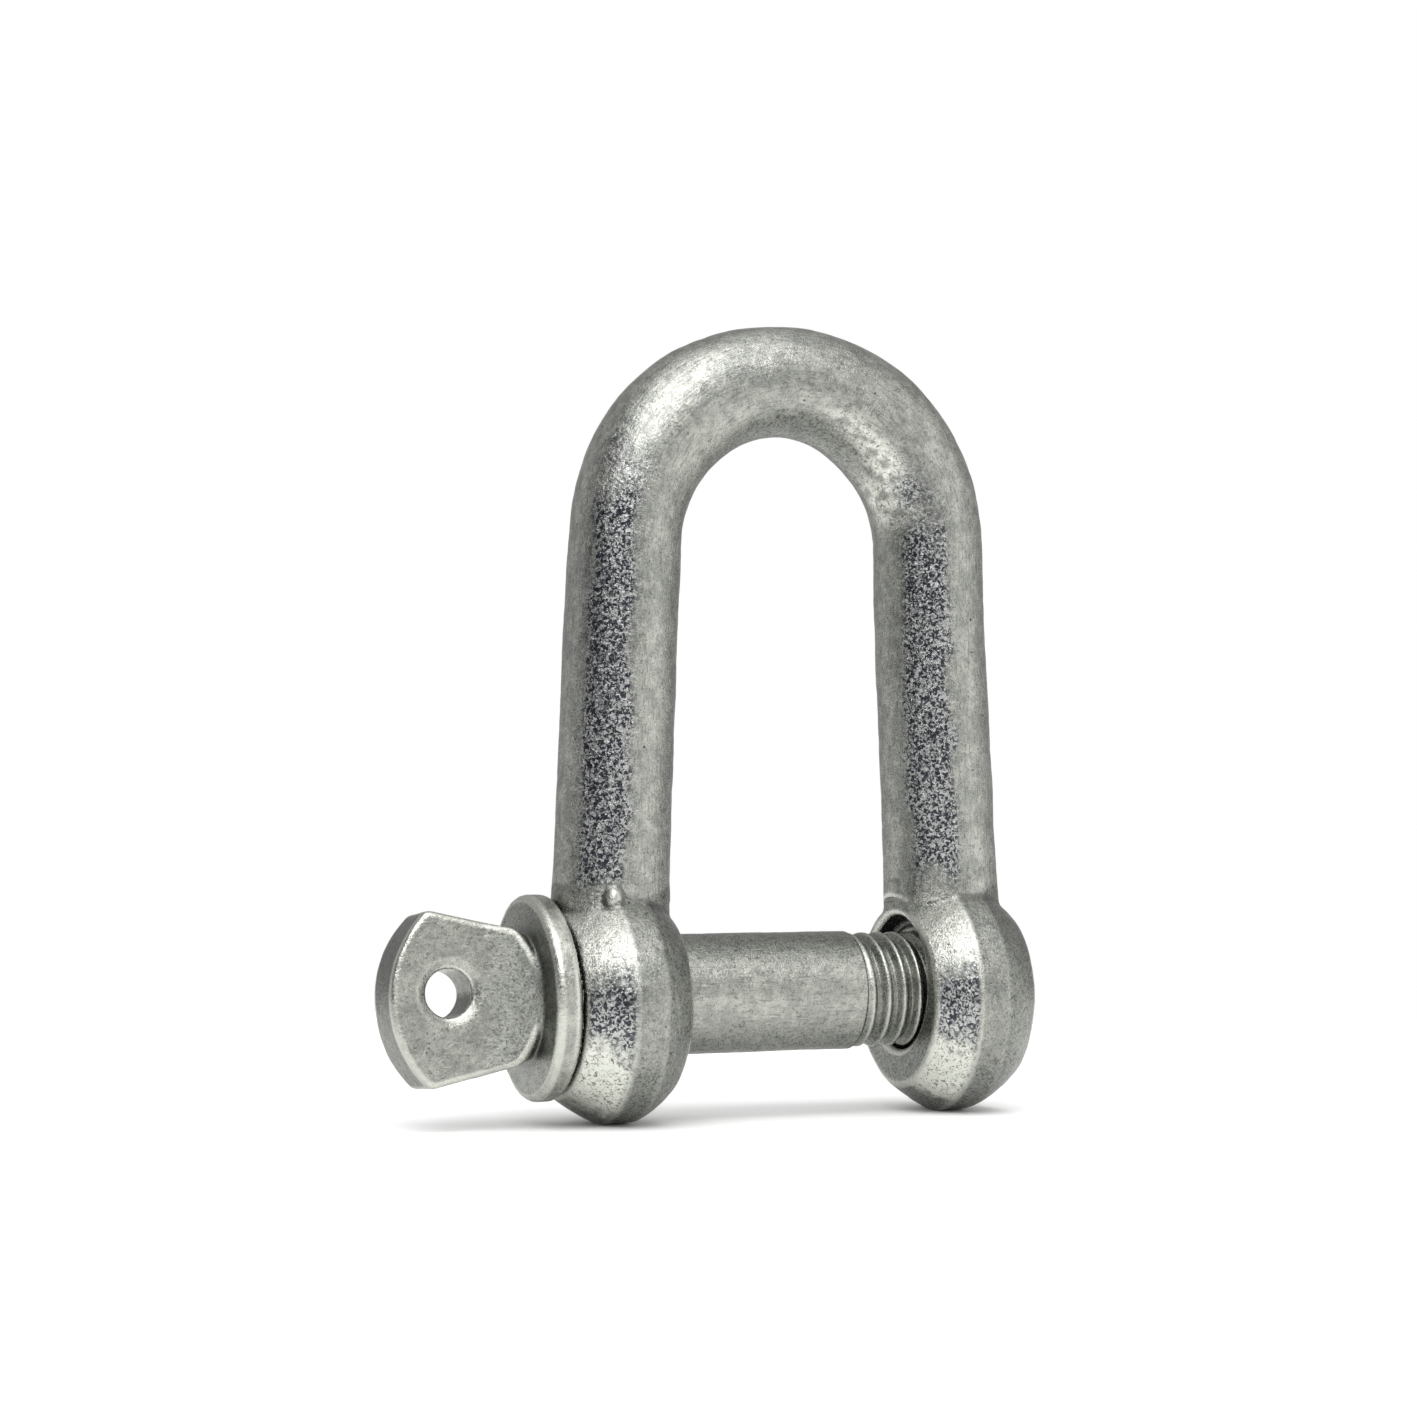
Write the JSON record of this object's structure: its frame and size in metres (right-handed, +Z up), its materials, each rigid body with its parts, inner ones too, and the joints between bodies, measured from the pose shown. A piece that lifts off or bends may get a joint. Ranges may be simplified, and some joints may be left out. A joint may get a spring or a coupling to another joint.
{
  "type": "dee shackle",
  "caption": "Galvanised dee shackle: round bar bent to a straight-sided D with two barrel eyes, closed by a screw pin with a collar and a flat eye head.",
  "frame": {"origin": "on the screw pin's axis, midway between the two eyes", "axes": "+X along the pin from its head to its threaded end, +Z up to the crown, +Y away from the side shown in front"},
  "size_m": [0.0569, 0.0202, 0.0687],
  "materials": {
    "galvanised_body": "hot-dip galvanised, dull and mottled",
    "galvanised_pin": "hot-dip galvanised, slightly smoother and paler than the body"
  },
  "bodies": {
    "shackle_body": {"body": "galvanised_body"},
    "pin_core": {"pin_shank": "galvanised_pin"},
    "screw_pin": {"pin_head": "galvanised_pin", "pin_thread": "galvanised_pin"}
  },
  "joints": [
    {"name": "pin_travel", "type": "slide", "parent": "shackle_body", "child": "pin_core", "axis": [-1, 0, 0], "range_m": [-0.00025, 0.0465]},
    {"name": "pin_turn", "type": "hinge", "parent": "pin_core", "child": "screw_pin", "pos_m": [0, 0, 0], "axis": [-1, 0, 0], "range_deg": [-61, 11161]}
  ],
  "couplings": [
    {"joint": "pin_turn", "follows": "pin_travel", "rad_per_m": 4188.8}
  ]
}
